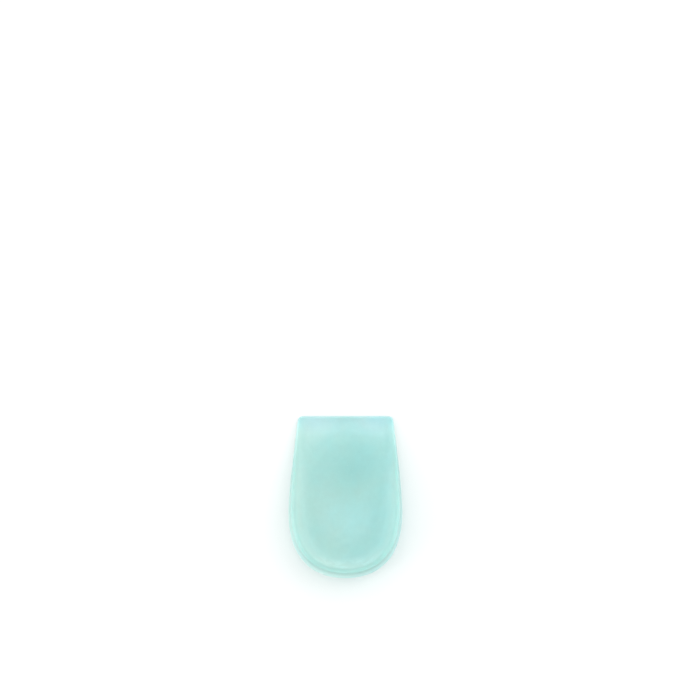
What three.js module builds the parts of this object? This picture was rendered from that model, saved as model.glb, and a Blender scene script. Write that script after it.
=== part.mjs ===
// A heel cup: one soft moulded gel piece that lies in a shoe under the heel. A wall runs round the
// back and the sides and sinks towards a thin, straight front edge.
// Millimetres, +Z up, +Y towards the toes. The origin is on the flat underside, at the middle of
// the cup's length and width.

import * as THREE from "three";

const { lerp, smoothstep, degToRad } = THREE.MathUtils;

// The outline seen from above
const LENGTH = 90;
const WIDTH = 62;
const WIDEST_FROM_BACK = 36;
const SIDE_TAPER = 5.2; // how far each side runs in, from the widest line to the front corner
const SIDE_BOW = 0.22; // how far forward the sides hold the full width, as a share of their length
const CORNER_RADIUS = 2.6;
const HEEL_FULLNESS = 0.64; // Bezier handles of the heel's curve: 0.55 is an ellipse, 1 is square

// The wall
const BACK_HEIGHT = 21;
const RIM_ROUNDING = 0.8; // radius of the rim's outer edge
const RIM_SHOULDER = 1.8; // from the top of the rim in to the wall of the hollow
const FULL_RIM_HEIGHT = 14; // height of the wall from which its rim has these sizes
const RIM_FOLD = 0.35; // how far the rim stands out over the wall below it, at the back
const RIM_LEAN = 1.6; // how far the rim leans in from the widest line of the wall, at the back
const SOLE_INSET = 9; // from the outline in to the flat underside, at the back
const BELLY = 0.5; // how high the wall's widest line lies, as a share of its height

// The sole
const SEAT_THICKNESS = 3.8; // under the middle of the heel
const RIDGE_THICKNESS = 5.8; // at the low ridge in front of the seat
const BEVEL_LENGTH = 17; // from that ridge to the front edge
const BEVEL_BOW = 9; // how far the ridge bends back at the cup's full width
const SEAT_POWER = 4.4; // of the hollow: 2 is a round bowl, and more is flatter with steeper walls

// The front edge
const EDGE_THICKNESS = 1.3;
const EDGE_LIP = 0.9; // width of the rounded lip along it

// Height of the rim along the cup: the share of the length from the back, and the share of the
// rise from the front edge to the back.
const RIM_LINE = [
  { along: 0, rise: 1 },
  { along: 0.16, rise: 0.985 },
  { along: 0.32, rise: 0.9 },
  { along: 0.48, rise: 0.735 },
  { along: 0.64, rise: 0.52 },
  { along: 0.8, rise: 0.305 },
  { along: 0.91, rise: 0.145 },
  { along: 1, rise: 0 },
];

// How finely the surface is divided
const HEEL_STEPS = 24;
const SIDE_STEPS = 16;
const CORNER_STEPS = 4;
const FRONT_STEPS = 8;
const FILLET_STEPS = 6;
const WALL_STEPS = 3;
const RIM_STEPS = 3;
const SHOULDER_STEPS = 3;
const SEAT_STEPS = 15;

const BACK_Y = -LENGTH / 2;
const FRONT_Y = LENGTH / 2;
const WIDEST_Y = BACK_Y + WIDEST_FROM_BACK;
const RIDGE_Y = FRONT_Y - BEVEL_LENGTH;

const rimRise = new THREE.CubicInterpolant(
  RIM_LINE.map((row) => row.along),
  RIM_LINE.map((row) => row.rise),
  1,
);

function rimHeight(y) {
  const [rise] = rimRise.evaluate((y - BACK_Y) / LENGTH);
  return lerp(EDGE_THICKNESS, BACK_HEIGHT, rise);
}

// Thickness of the sole: even under the heel, up to the ridge, and down to the front edge.
function soleThickness(x, y) {
  const bowed = y + BEVEL_BOW * (x / (WIDTH / 2)) ** 2;
  const up = smoothstep(bowed, WIDEST_Y, RIDGE_Y);
  const down = smoothstep(bowed, RIDGE_Y, FRONT_Y - EDGE_LIP);
  return lerp(lerp(SEAT_THICKNESS, RIDGE_THICKNESS, up), EDGE_THICKNESS, down);
}

// The outline, anticlockwise from the middle of the back.
function outline() {
  const back = new THREE.Vector2(0, BACK_Y);
  const widest = new THREE.Vector2(WIDTH / 2, WIDEST_Y);
  const bend = new THREE.Vector2(WIDTH / 2, lerp(WIDEST_Y, FRONT_Y, SIDE_BOW));
  const corner = new THREE.Vector2(WIDTH / 2 - SIDE_TAPER, FRONT_Y);
  const front = new THREE.Vector2(0, FRONT_Y);
  const alongSide = corner.clone().sub(bend).normalize();
  const cornerStart = corner.clone().addScaledVector(alongSide, -CORNER_RADIUS);
  const cornerEnd = corner.clone().setX(corner.x - CORNER_RADIUS);

  const heel = new THREE.CubicBezierCurve(
    back,
    new THREE.Vector2(widest.x * HEEL_FULLNESS, back.y),
    new THREE.Vector2(widest.x, lerp(widest.y, back.y, HEEL_FULLNESS)),
    widest,
  );
  const side = new THREE.QuadraticBezierCurve(widest, bend, cornerStart);
  const rounding = new THREE.QuadraticBezierCurve(cornerStart, corner, cornerEnd);
  const edge = new THREE.LineCurve(cornerEnd, front);
  const right = [
    ...heel.getPoints(HEEL_STEPS).slice(1),
    ...side.getPoints(SIDE_STEPS).slice(1),
    ...rounding.getPoints(CORNER_STEPS).slice(1),
    ...edge.getPoints(FRONT_STEPS).slice(1, -1),
  ];
  const left = right.map((p) => new THREE.Vector2(-p.x, p.y)).reverse();
  return [back, ...right, front, ...left];
}

// A point of the outline, moved in by a distance.
function movedIn(point, inset) {
  const reach = point.y < WIDEST_Y ? WIDEST_FROM_BACK : LENGTH - WIDEST_FROM_BACK;
  return new THREE.Vector2(
    point.x * (1 - inset / (WIDTH / 2)),
    WIDEST_Y + (point.y - WIDEST_Y) * (1 - inset / reach),
  );
}

// The wall's section, from the flat underside up the outside and over the rim, as distances in
// from the outline and heights. Its sizes follow its height, and the rim's shoulder ends as steep
// as the hollow that it runs into.
function wallSection(height) {
  const share = height / BACK_HEIGHT;
  const soleInset = SOLE_INSET * share;
  const lean = RIM_LEAN * share;
  const belly = BELLY * height;
  const fold = RIM_FOLD * Math.sqrt(share);
  const formed = smoothstep(height, EDGE_THICKNESS, FULL_RIM_HEIGHT);
  const rounding = lerp(EDGE_LIP / 2, RIM_ROUNDING, formed);
  const shoulder = lerp(EDGE_LIP / 2, RIM_SHOULDER, formed);
  const steepness = (SEAT_POWER * Math.max(0, height - RIDGE_THICKNESS)) / (WIDTH / 2);

  const section = [];
  for (let i = 0; i <= FILLET_STEPS; i++) {
    const turn = degToRad((90 * i) / FILLET_STEPS);
    section.push({
      inset: soleInset * (1 - Math.sin(turn)),
      z: belly * (1 - Math.cos(turn)),
    });
  }
  for (let i = 1; i <= WALL_STEPS; i++) {
    const up = i / WALL_STEPS;
    section.push({ inset: (lean + fold) * up ** 2, z: lerp(belly, height - rounding - fold, up) });
  }
  for (let i = 0; i <= RIM_STEPS; i++) {
    const turn = degToRad((90 * i) / RIM_STEPS);
    section.push({
      inset: lean + rounding * (1 - Math.cos(turn)),
      z: height - rounding * (1 - Math.sin(turn)),
    });
  }
  for (let i = 1; i <= SHOULDER_STEPS; i++) {
    const across = i / SHOULDER_STEPS;
    section.push({
      inset: lean + rounding + shoulder * across,
      z: height - (shoulder * steepness * across ** 2) / 2,
    });
  }
  return section;
}

// The outside of the cup above one point of the outline, from the underside to the rim's inner foot.
function outsideAt(point) {
  return wallSection(rimHeight(point.y)).map(({ inset, z }) => {
    const { x, y } = movedIn(point, inset);
    return new THREE.Vector3(x, y, z);
  });
}

// The hollow along one line, from the rim's inner foot to the middle of the seat. Behind the widest
// line it climbs towards the rim all round, and in front of that line only to the sides.
function seatAlong(foot, wallFoot) {
  const points = [];
  for (let i = 1; i < SEAT_STEPS; i++) {
    const out = Math.sin(degToRad(90 * (1 - i / SEAT_STEPS)));
    const x = foot.x * out;
    const y = lerp(WIDEST_Y, foot.y, out);
    const [halfWidth, top] = wallFoot.evaluate(y);
    const toWall = y < WIDEST_Y ? out : Math.abs(x) / halfWidth;
    points.push(new THREE.Vector3(x, y, lerp(soleThickness(x, y), top, toWall ** SEAT_POWER)));
  }
  return points;
}

// A closed skin over columns of points, with a fan to a point at each end.
function skin(columns, start, end) {
  const rows = columns[0].length;
  const points = [...columns.flat(), start, end];
  const startIndex = points.length - 2;
  const endIndex = points.length - 1;
  const index = [];
  columns.forEach((_, i) => {
    const here = i * rows;
    const next = ((i + 1) % columns.length) * rows;
    index.push(startIndex, next, here);
    for (let row = 0; row < rows - 1; row++) {
      index.push(here + row, next + row, next + row + 1);
      index.push(here + row, next + row + 1, here + row + 1);
    }
    index.push(here + rows - 1, next + rows - 1, endIndex);
  });
  const geometry = new THREE.BufferGeometry().setFromPoints(points).setIndex(index);
  geometry.computeVertexNormals();
  return geometry;
}

function heelCup() {
  const outsides = outline().map(outsideAt);
  const feet = outsides.map((outside) => outside.at(-1));
  const rightFeet = feet.slice(0, HEEL_STEPS + SIDE_STEPS + CORNER_STEPS + 1);
  const wallFoot = new THREE.CubicInterpolant(
    rightFeet.map((foot) => foot.y),
    rightFeet.flatMap((foot) => [foot.x, foot.z]),
    2,
  );
  const columns = outsides.map((outside, i) => [...outside, ...seatAlong(feet[i], wallFoot)]);
  const underside = new THREE.Vector3(0, WIDEST_Y, 0);
  const seat = new THREE.Vector3(0, WIDEST_Y, soleThickness(0, WIDEST_Y));
  const gel = new THREE.MeshStandardMaterial({ color: 0xaae2da, roughness: 0.45, metalness: 0 });
  const mesh = new THREE.Mesh(skin(columns, underside, seat), gel);
  mesh.name = "heel_cup";
  return mesh;
}

const cup = new THREE.Group();
cup.add(heelCup());

export default cup;
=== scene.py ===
"""A soft gel heel cup, seen from above as it lies on a pale floor. Metres, in the CAD model's frame."""

from math import atan2, cos, exp, pi, radians, sin

import bmesh
import bpy
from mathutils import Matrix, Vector, noise
from mathutils.bvhtree import BVHTree
from mathutils.kdtree import KDTree


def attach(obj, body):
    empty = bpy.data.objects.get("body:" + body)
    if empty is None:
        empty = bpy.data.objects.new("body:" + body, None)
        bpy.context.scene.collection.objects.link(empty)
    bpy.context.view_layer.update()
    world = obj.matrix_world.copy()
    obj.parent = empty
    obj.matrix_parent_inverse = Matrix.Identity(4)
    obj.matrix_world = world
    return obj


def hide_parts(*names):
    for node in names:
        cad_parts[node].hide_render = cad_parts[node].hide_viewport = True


MM = 0.001

# The fine mesh
MERGE_DISTANCE = 0.001 * MM
JOIN_BEND = radians(40)  # two triangles become a quad up to this angle between them
JOIN_SKEW = radians(60)  # and up to this much off a rectangle
EVEN_GRID = 1.5  # how strongly that prefers an even grid of quads, which stays smooth
SUBDIVISIONS = 2
LIP_CREASE_ANGLE = radians(6)  # an outside edge that folds in by more than this keeps its line
LIP_CREASE = 0.7
LIP_FACING = 0.5  # how far such an edge faces outwards at least: 1 is straight out

# The slow unevenness of the moulded gel
WAVE_HEIGHT = 0.14 * MM
WAVE_LENGTH = 19 * MM
SMALL_WAVE_HEIGHT = 0.4  # height of the shorter waves among them, as a share of the long ones'
SMALL_WAVE_COUNT = 2.7  # how many of them go into a long one
WAVE_CLEAR_OF_FLOOR = 4 * MM  # height at which the unevenness is full: the underside stays flat

# The light that comes through the gel
LIGHT_REACH = 11 * MM  # depth of gel that takes light down to 1/e
DARK_SOLE = 3  # how much sooner light fades towards the sole, which lies on the floor
DARK_HEIGHT = 3 * MM  # height on the outside up to which the floor keeps light away
CONE_RAYS = 8
CONE_ANGLE = radians(38)
RAY_START = 0.02 * MM  # how far under the skin the rays start

# The painted shade along the fold under the rim and over the rim's top
WHOLE_FOLD = 0.9  # share of a fold from which a point lies on its line
RIM_SHADE_ABOVE = 2.5 * MM  # how far that colour reaches from the fold over the rim
RIM_SHADE_BELOW = 3.4 * MM  # and down the wall
SIDE_RIM_SHADE = 0.55  # how deep it is along the sides, as a share of that at the back
SIDE_RIM = -24 * MM  # y up to which it has the sides' depth
BACK_RIM = -39 * MM  # y from which it has the back's
LOW_RIM = 3 * MM  # height up to which it has no such colour
HIGH_RIM = 9 * MM  # height from which it has all of it
RIM_SHADE_COLOUR = (0.310, 0.540, 0.502, 1)

# The painted highlights, in patches, high on the inside of the back wall
HIGHLIGHT_FROM = {"y": -31 * MM, "z": 8 * MM}  # where they begin
HIGHLIGHT_FULL = {"y": -37 * MM, "z": 13 * MM}
HIGHLIGHT_FACING = 0.5  # how far forwards the wall faces where they are full: 1 is straight forwards

# The gel's colour by how much light comes through it, from the thick ridge to the thin edge
GEL_COLOURS = [
    {"clearness": 0.12, "colour": (0.400, 0.693, 0.656, 1)},
    {"clearness": 0.20, "colour": (0.414, 0.702, 0.670, 1)},
    {"clearness": 0.30, "colour": (0.446, 0.730, 0.698, 1)},
    {"clearness": 0.50, "colour": (0.488, 0.738, 0.700, 1)},
    {"clearness": 0.62, "colour": (0.505, 0.765, 0.728, 1)},
]
NOISE_LOW = 0.3  # the range that the noise hardly leaves
NOISE_HIGH = 0.7
CLOUD_SIZE = 14 * MM
CLOUD_DEPTH = 0.03  # how much clearer or less clear the clouds are

# The painted shade in the middle, deeper where less light comes through the gel
HEART = (3 * MM, 14 * MM, 5.8 * MM)
HEART_SIZE = 27 * MM
HEART_SHADE_COLOUR = (0.322, 0.610, 0.572, 1)
HEART_WEIGHT = 0.85

# The thin front, with painted light as if the pale floor came through it: two painted pale highlights side
# by side
FRONT_START = 33 * MM
FRONT_FULL = 42 * MM
FRONT_LIGHT_COLOUR = (0.445, 0.757, 0.780, 1)
DEEP_FRONT_COLOUR = (0.405, 0.712, 0.702, 1)  # in its middle and at its corners
FRONT_WEIGHT = 0.9
LOBE_START = 3 * MM  # from the middle out to where each pale patch is full
LOBE_FULL = 14 * MM
CORNER_START = 18 * MM
CORNER_FULL = 26 * MM

# The painted highlights' look
HIGHLIGHT_COLOUR = (0.540, 0.825, 0.800, 1)
HIGHLIGHT_SIZE = 4.5 * MM
HIGHLIGHT_EDGE = 0.44  # the noise at which a patch begins, and at which it is full
HIGHLIGHT_CORE = 0.62
HIGHLIGHT_WEIGHT = 0.7

# The tint over the whole cup: painted light, lighter and warmer on the left, cooler and a little darker on
# the right, in drifting patches of random tone
WARMER_LIGHT = (1.12, 1.02, 1.01, 1)
COOLER_LIGHT = (0.960, 0.99, 1.015, 1)
TINT_DRIFT = 84 * MM  # width over which the tint goes from warmer, on the left, to cooler
TINT_SLANT = 0.25  # and it is warmer towards the back by this share of the distance
TINT_PATCH_SIZE = 22 * MM
TINT_PATCHES = 0.5  # how far the patches shift the tint, as a share of the way to cooler

# Small things in the gel
FINE_CLOUD_SIZE = 5 * MM
MOTTLE = 0.025  # how much lighter or darker the fine clouds are
BUBBLE_SPACING = 2.2 * MM
BUBBLE_EDGE = 0.1  # radius of a bubble and of its core, as shares of the spacing
BUBBLE_CORE = 0.05
BUBBLE_WEIGHT = 0.35
SPECK_COLOUR = (0.595, 0.818, 0.800, 1)

# The gel's finish
SMUDGE_SIZE = 9 * MM
CLEAN_ROUGHNESS = 0.36
SMUDGED_ROUGHNESS = 0.5
GRAIN_SIZE = 0.35 * MM
GRAIN_HEIGHT = 0.02 * MM
GRAIN_STRENGTH = 0.5
RIPPLE_SIZE = 5 * MM
RIPPLE_HEIGHT = 0.15 * MM
RIPPLE_STRENGTH = 0.35
GEL_IOR = 1.41
GLOW_WEIGHT = 0.9
GLOW_REACH = 3.5 * MM
GLOW_BY_COLOUR = (0.8, 1.0, 1.0)  # how far red, green and blue light go, as shares of the reach

# The camera, in the 700 x 700 picture
PICTURE_WIDTH = 700
CUP_PIXEL = (345.5, 496.2)  # the middle of the cup
MM_PER_PIXEL = 0.5439
CUP_MIDDLE = Vector((0, 0, 8 * MM))
ELEVATION = radians(83)
LENS = 200
SENSOR = 36

# The studio
FLOOR_HALF = 6
FLOOR_GAP = 0.05 * MM  # how far the floor lies below the cup
FLOOR_COLOUR = (0.93, 0.93, 0.93, 1)
FLOOR_ROUGHNESS = 0.9
FLOOR_SHINE = 0.1
DOME_LOW = 1.12  # brightness at the horizon
DOME_TOP = 1.01
DOME_COLOUR = (0.99, 1.0, 1.0, 1)


def share(value, low, high):
    """How far the value is from low to high, from 0 to 1."""
    return min(1, max(0, (value - low) / (high - low)))


def fine_mesh(source):
    """The CAD node's mesh as quads, with the fold under the rim marked, ready to be subdivided."""
    mesh = bmesh.new()
    mesh.from_mesh(source.data)
    bmesh.ops.remove_doubles(mesh, verts=mesh.verts, dist=MERGE_DISTANCE)
    bmesh.ops.recalc_face_normals(mesh, faces=mesh.faces)
    bmesh.ops.join_triangles(
        mesh,
        faces=mesh.faces,
        angle_face_threshold=JOIN_BEND,
        angle_shape_threshold=JOIN_SKEW,
        topology_influence=EVEN_GRID,
    )
    crease = mesh.edges.layers.float.new("crease_edge")
    fold = mesh.verts.layers.float.new("fold")
    for edge in mesh.edges:
        middle = (edge.verts[0].co + edge.verts[1].co) / 2
        outward = Vector((middle.x, middle.y, 0)).normalized()
        normal = sum((face.normal for face in edge.link_faces), Vector()).normalized()
        folds_in = edge.calc_face_angle_signed() < -LIP_CREASE_ANGLE
        if folds_in and normal.dot(outward) > LIP_FACING:
            edge[crease] = LIP_CREASE
            for vertex in edge.verts:
                vertex[fold] = 1
    result = bpy.data.meshes.new("gel_cup")
    mesh.to_mesh(result)
    mesh.free()
    return result


def apply_subdivision(piece):
    modifier = piece.modifiers.new("fine", "SUBSURF")
    modifier.levels = SUBDIVISIONS
    modifier.render_levels = SUBDIVISIONS
    evaluated = piece.evaluated_get(bpy.context.evaluated_depsgraph_get())
    coarse = piece.data
    piece.data = bpy.data.meshes.new_from_object(evaluated)
    piece.modifiers.clear()
    bpy.data.meshes.remove(coarse)
    piece.data.name = piece.name


def add_waves(mesh):
    """Moves the skin in and out a little, as soft gel comes out of its mould."""
    moved = []
    for vertex in mesh.vertices:
        free = share(vertex.co.z, 0, WAVE_CLEAR_OF_FLOOR)
        place = vertex.co / WAVE_LENGTH
        wave = noise.noise(place) + SMALL_WAVE_HEIGHT * noise.noise(place * SMALL_WAVE_COUNT)
        moved.append(vertex.co + vertex.normal * (wave * WAVE_HEIGHT * free))
    for vertex, place in zip(mesh.vertices, moved):
        vertex.co = place


def keep(mesh, name, values):
    """Stores a value for each point, which the material reads by its name."""
    mesh.attributes.new(name, "FLOAT", "POINT").data.foreach_set("value", values)


def add_clearness(mesh):
    """Keeps at each point how much light comes through the gel behind it: 1 where it is thin."""
    tree = BVHTree.FromPolygons(
        [vertex.co for vertex in mesh.vertices], [face.vertices for face in mesh.polygons]
    )
    tilts = [(0, 0)] + [(CONE_ANGLE, 2 * pi * i / CONE_RAYS) for i in range(CONE_RAYS)]
    values = []
    for vertex in mesh.vertices:
        inward = -vertex.normal
        side = inward.orthogonal().normalized()
        other = inward.cross(side)
        through = 0
        for tilt, turn in tilts:
            across = side * cos(turn) + other * sin(turn)
            ray = inward * cos(tilt) + across * sin(tilt)
            way_out, _, _, depth = tree.ray_cast(vertex.co + inward * RAY_START, ray)
            if way_out is None:
                way_out, depth = vertex.co, 0
            shade = 1 - share(way_out.z, 0, DARK_HEIGHT)
            through += exp(-depth * (1 + (DARK_SOLE - 1) * shade) / LIGHT_REACH)
        values.append(through / len(tilts))
    keep(mesh, "clearness", values)


def add_rim_shade(mesh):
    """Keeps how near each point is to the fold under the rim, where the wall is high enough to have one,
    for the painted shade along it.
    """
    folds = mesh.attributes["fold"].data
    folded = [vertex.co.copy() for vertex, fold in zip(mesh.vertices, folds) if fold.value > WHOLE_FOLD]
    tree = KDTree(len(folded))
    for i, place in enumerate(folded):
        tree.insert(place, i)
    tree.balance()
    values = []
    for vertex in mesh.vertices:
        nearest, _, distance = tree.find(vertex.co)
        outside = vertex.normal.x * vertex.co.x + vertex.normal.y * vertex.co.y > 0
        reach = RIM_SHADE_BELOW if outside and vertex.co.z < nearest.z else RIM_SHADE_ABOVE
        formed = share(vertex.co.z, LOW_RIM, HIGH_RIM)
        behind = share(vertex.co.y, SIDE_RIM, BACK_RIM)
        depth = SIDE_RIM_SHADE + (1 - SIDE_RIM_SHADE) * behind
        values.append(formed * depth * exp(-((distance / reach) ** 2)))
    keep(mesh, "rim_shade", values)


def add_inner_back(mesh):
    """Keeps how much each point belongs to the upper inside of the back wall, facing forwards, where the
    painted highlights go.
    """
    values = []
    for vertex in mesh.vertices:
        facing = share(vertex.normal.y, 0, HIGHLIGHT_FACING)
        behind = share(vertex.co.y, HIGHLIGHT_FROM["y"], HIGHLIGHT_FULL["y"])
        high = share(vertex.co.z, HIGHLIGHT_FROM["z"], HIGHLIGHT_FULL["z"])
        values.append(facing * behind * high)
    keep(mesh, "inner_back", values)


def new_material(name):
    material = bpy.data.materials.new(name)
    material.use_nodes = True
    material.node_tree.nodes.clear()
    output = material.node_tree.nodes.new("ShaderNodeOutputMaterial")
    shader = material.node_tree.nodes.new("ShaderNodeBsdfPrincipled")
    material.node_tree.links.new(shader.outputs["BSDF"], output.inputs["Surface"])
    return material, shader


def feed(material, socket, value):
    """Links an output of another node to the socket, or sets anything else as its value."""
    if isinstance(value, bpy.types.NodeSocket):
        material.node_tree.links.new(value, socket)
    else:
        socket.default_value = value


def add_node(material, kind, **inputs):
    """A node with its inputs fed, by their names, or by their numbers as _0, _1 and so on."""
    node = material.node_tree.nodes.new(kind)
    for name, value in inputs.items():
        socket = node.inputs[int(name[1:])] if name[1:].isdigit() else node.inputs[name]
        feed(material, socket, value)
    return node


def noise_at(material, where, size, detail=2, roughness=0.5):
    """Noise whose lumps are about size across."""
    node = add_node(material, "ShaderNodeTexNoise", Vector=where, Scale=1 / size)
    node.inputs["Detail"].default_value = detail
    node.inputs["Roughness"].default_value = roughness
    return node.outputs["Fac"]


def remap(material, value, low, high, to_low, to_high):
    """The value carried from its own range over to another, and kept inside that one."""
    node = add_node(material, "ShaderNodeMapRange", Value=value)
    limits = {"From Min": low, "From Max": high, "To Min": to_low, "To Max": to_high}
    for name, limit in limits.items():
        node.inputs[name].default_value = limit
    return node.outputs["Result"]


def mix(material, factor, first, second, blend="MIX"):
    """Two colours mixed. A Mix node keeps its colours in sockets 6 and 7, and its result in 2."""
    node = add_node(material, "ShaderNodeMix")
    node.data_type = "RGBA"
    node.blend_type = blend
    for number, value in {0: factor, 6: first, 7: second}.items():
        feed(material, node.inputs[number], value)
    return node.outputs[2]


def attribute(material, name):
    node = add_node(material, "ShaderNodeAttribute")
    node.attribute_name = name
    return node.outputs["Fac"]


def plus(material, first, second):
    return add_node(material, "ShaderNodeMath", _0=first, _1=second).outputs["Value"]


def times(material, first, second):
    node = add_node(material, "ShaderNodeMath", _0=first, _1=second)
    node.operation = "MULTIPLY"
    return node.outputs["Value"]


def by_clearness(material, where):
    """Paler where light comes through the gel, with soft clouds."""
    cloud = noise_at(material, where, CLOUD_SIZE, detail=4, roughness=0.6)
    shift = remap(material, cloud, NOISE_LOW, NOISE_HIGH, -CLOUD_DEPTH, CLOUD_DEPTH)
    cloudy = plus(material, attribute(material, "clearness"), shift)
    ramp = add_node(material, "ShaderNodeValToRGB", Fac=cloudy)
    stops = ramp.color_ramp.elements
    while len(stops) < len(GEL_COLOURS):
        stops.new(0.5)
    for stop, row in zip(stops, GEL_COLOURS):
        stop.position = row["clearness"]
        stop.color = row["colour"]
    return ramp.outputs["Color"]


def with_heart(material, where, colour):
    """Painted shade, deeper towards the middle."""
    from_heart = add_node(material, "ShaderNodeVectorMath", _0=where, _1=HEART)
    from_heart.operation = "DISTANCE"
    deep = remap(material, from_heart.outputs["Value"], 0, HEART_SIZE, HEART_WEIGHT, 0)
    return mix(material, deep, colour, HEART_SHADE_COLOUR)


def with_front(material, place, colour):
    """Painted light along the thin front: two pale painted highlights, one on each side of its middle."""
    thin = remap(material, place.outputs["Y"], FRONT_START, FRONT_FULL, 0, FRONT_WEIGHT)
    from_middle = add_node(material, "ShaderNodeMath", _0=place.outputs["X"])
    from_middle.operation = "ABSOLUTE"
    lobes = remap(material, from_middle.outputs["Value"], LOBE_START, LOBE_FULL, 0, 1)
    corners = remap(material, from_middle.outputs["Value"], CORNER_START, CORNER_FULL, 1, 0)
    front = mix(material, times(material, lobes, corners), DEEP_FRONT_COLOUR, FRONT_LIGHT_COLOUR)
    return mix(material, thin, colour, front)


def with_highlights(material, where, colour):
    """Painted highlights in patches, high on the inside of the back wall."""
    patches = noise_at(material, where, HIGHLIGHT_SIZE, detail=3, roughness=0.6)
    highlight = remap(material, patches, HIGHLIGHT_EDGE, HIGHLIGHT_CORE, 0, HIGHLIGHT_WEIGHT)
    return mix(material, times(material, highlight, attribute(material, "inner_back")), colour, HIGHLIGHT_COLOUR)


def with_tint(material, where, place, colour):
    """Painted light: lighter and warmer on the left, cooler on the right, in drifting patches."""
    drift = noise_at(material, where, TINT_PATCH_SIZE, detail=4, roughness=0.55)
    slanted = plus(material, place.outputs["X"], times(material, place.outputs["Y"], TINT_SLANT))
    side = remap(material, slanted, -TINT_DRIFT / 2, TINT_DRIFT / 2, 0, 1)
    patches = remap(material, drift, NOISE_LOW, NOISE_HIGH, -TINT_PATCHES, TINT_PATCHES)
    tint = mix(material, plus(material, side, patches), WARMER_LIGHT, COOLER_LIGHT)
    return mix(material, 1.0, colour, tint, blend="MULTIPLY")


def with_fine_clouds(material, where, colour):
    fine_cloud = noise_at(material, where, FINE_CLOUD_SIZE, detail=5, roughness=0.65)
    lighter = remap(material, fine_cloud, NOISE_LOW, NOISE_HIGH, 1 - MOTTLE, 1 + MOTTLE)
    return mix(material, 1.0, colour, lighter, blend="MULTIPLY")


def with_bubbles(material, where, colour):
    bubbles = add_node(material, "ShaderNodeTexVoronoi", Vector=where, Scale=1 / BUBBLE_SPACING)
    speck = remap(material, bubbles.outputs["Distance"], BUBBLE_EDGE, BUBBLE_CORE, 0, BUBBLE_WEIGHT)
    return mix(material, speck, colour, SPECK_COLOUR)


def gel_colour(material, where):
    place = add_node(material, "ShaderNodeSeparateXYZ", Vector=where)
    colour = by_clearness(material, where)
    colour = with_heart(material, where, colour)
    colour = with_front(material, place, colour)
    colour = with_highlights(material, where, colour)
    colour = with_tint(material, where, place, colour)
    colour = with_fine_clouds(material, where, colour)
    colour = with_bubbles(material, where, colour)
    # painted shade along the fold under the rim and over its top
    return mix(material, attribute(material, "rim_shade"), colour, RIM_SHADE_COLOUR)


def gel_bump(material, where):
    """A fine grain over shallow ripples."""
    grain = noise_at(material, where, GRAIN_SIZE)
    ripple = noise_at(material, where, RIPPLE_SIZE)
    ripple_bump = add_node(material, "ShaderNodeBump", Height=ripple, Distance=RIPPLE_HEIGHT)
    ripple_bump.inputs["Strength"].default_value = RIPPLE_STRENGTH
    grain_bump = add_node(
        material,
        "ShaderNodeBump",
        Height=grain,
        Distance=GRAIN_HEIGHT,
        Normal=ripple_bump.outputs["Normal"],
    )
    grain_bump.inputs["Strength"].default_value = GRAIN_STRENGTH
    return grain_bump.outputs["Normal"]


def gel_material():
    """A soft, faintly glossy gel, with smudges that dull its gloss here and there."""
    material, shader = new_material("mint_gel")
    where = add_node(material, "ShaderNodeTexCoord").outputs["Object"]
    smudges = noise_at(material, where, SMUDGE_SIZE, detail=4, roughness=0.6)
    dulled = remap(material, smudges, NOISE_LOW, NOISE_HIGH, CLEAN_ROUGHNESS, SMUDGED_ROUGHNESS)
    feed(material, shader.inputs["Base Color"], gel_colour(material, where))
    feed(material, shader.inputs["Roughness"], dulled)
    feed(material, shader.inputs["Normal"], gel_bump(material, where))
    shader.inputs["IOR"].default_value = GEL_IOR
    shader.inputs["Subsurface Weight"].default_value = GLOW_WEIGHT
    shader.inputs["Subsurface Radius"].default_value = GLOW_BY_COLOUR
    shader.inputs["Subsurface Scale"].default_value = GLOW_REACH
    return material


def gel_cup(node):
    piece = bpy.data.objects.new("gel_cup", fine_mesh(node))
    bpy.context.scene.collection.objects.link(piece)
    apply_subdivision(piece)
    add_waves(piece.data)
    add_clearness(piece.data)
    add_rim_shade(piece.data)
    add_inner_back(piece.data)
    piece.data.shade_smooth()
    piece.data.materials.clear()
    piece.data.materials.append(gel_material())
    return piece


def floor():
    mesh = bpy.data.meshes.new("floor")
    corners = [(-1, -1), (1, -1), (1, 1), (-1, 1)]
    mesh.from_pydata([(x * FLOOR_HALF, y * FLOOR_HALF, -FLOOR_GAP) for x, y in corners], [], [range(4)])
    plane = bpy.data.objects.new("floor", mesh)
    bpy.context.scene.collection.objects.link(plane)
    material, shader = new_material("pale_floor")
    shader.inputs["Base Color"].default_value = FLOOR_COLOUR
    shader.inputs["Roughness"].default_value = FLOOR_ROUGHNESS
    shader.inputs["Specular IOR Level"].default_value = FLOOR_SHINE
    mesh.materials.append(material)
    return plane


def soft_box(name, azimuth, elevation, distance, size, power, colour):
    """A square area light that faces the cup. Azimuth 0 is +X, and 90 is +Y, towards the toes."""
    light = bpy.data.lights.new(name, "AREA")
    light.shape = "SQUARE"
    light.size = size
    light.energy = power
    light.color = colour
    lamp = bpy.data.objects.new(name, light)
    level = cos(radians(elevation)) * distance
    lamp.location = (
        level * cos(radians(azimuth)),
        level * sin(radians(azimuth)),
        sin(radians(elevation)) * distance,
    )
    lamp.rotation_euler = (CUP_MIDDLE - lamp.location).to_track_quat("-Z", "Y").to_euler()
    bpy.context.scene.collection.objects.link(lamp)


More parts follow.
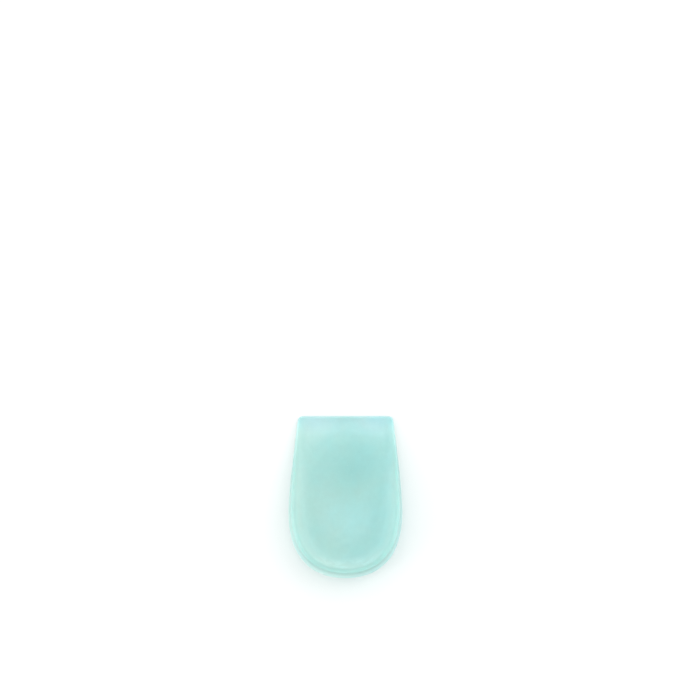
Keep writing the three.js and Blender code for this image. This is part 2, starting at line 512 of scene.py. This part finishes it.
def studio_dome():
    """A white dome, a little brighter low down than overhead, so that the inner walls get light too."""
    world = bpy.data.worlds.new("studio")
    world.use_nodes = True
    nodes = world.node_tree.nodes
    links = world.node_tree.links
    direction = nodes.new("ShaderNodeSeparateXYZ")
    links.new(nodes.new("ShaderNodeTexCoord").outputs["Generated"], direction.inputs["Vector"])
    strength = nodes.new("ShaderNodeMapRange")
    strength.inputs["To Min"].default_value = DOME_LOW
    strength.inputs["To Max"].default_value = DOME_TOP
    links.new(direction.outputs["Z"], strength.inputs["Value"])
    background = nodes["Background"]
    background.inputs["Color"].default_value = DOME_COLOUR
    links.new(strength.outputs["Result"], background.inputs["Strength"])
    bpy.context.scene.world = world


def lighting():
    studio_dome()
    soft_box("key", azimuth=25, elevation=45, distance=1.1, size=0.8, power=1.4, colour=(1, 0.98, 0.95))
    soft_box("front", azimuth=92, elevation=45, distance=1.2, size=0.7, power=0.4, colour=(0.92, 0.96, 1))
    soft_box("left", azimuth=200, elevation=28, distance=1.2, size=0.6, power=1.9, colour=(1, 0.99, 0.98))


def camera():
    """Looks down from a little behind the heel, with the cup below the middle of the picture."""
    data = bpy.data.cameras.new("camera")
    data.lens = LENS
    data.sensor_width = SENSOR
    distance = PICTURE_WIDTH * MM_PER_PIXEL * MM * LENS / SENSOR
    right = (PICTURE_WIDTH / 2 - CUP_PIXEL[0]) * MM_PER_PIXEL * MM
    above = (CUP_PIXEL[1] - PICTURE_WIDTH / 2) * MM_PER_PIXEL * MM
    towards_camera = Vector((0, -cos(ELEVATION), sin(ELEVATION)))
    view = bpy.data.objects.new("camera", data)
    view.location = CUP_MIDDLE + towards_camera * distance + Vector((right, 0, 0))
    view.rotation_euler = (pi / 2 - ELEVATION + atan2(above, distance), 0, 0)
    bpy.context.scene.collection.objects.link(view)
    bpy.context.scene.camera = view


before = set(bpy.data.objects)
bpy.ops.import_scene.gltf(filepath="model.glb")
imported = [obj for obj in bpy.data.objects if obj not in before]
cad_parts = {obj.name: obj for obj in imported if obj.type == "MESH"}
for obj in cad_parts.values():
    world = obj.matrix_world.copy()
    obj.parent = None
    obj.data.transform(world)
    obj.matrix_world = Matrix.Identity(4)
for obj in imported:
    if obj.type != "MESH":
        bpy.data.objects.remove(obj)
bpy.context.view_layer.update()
bpy.context.scene.view_settings.view_transform = "Standard"

cup = gel_cup(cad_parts["heel_cup"])
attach(cup, "root")
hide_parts("heel_cup")
floor()
lighting()
camera()
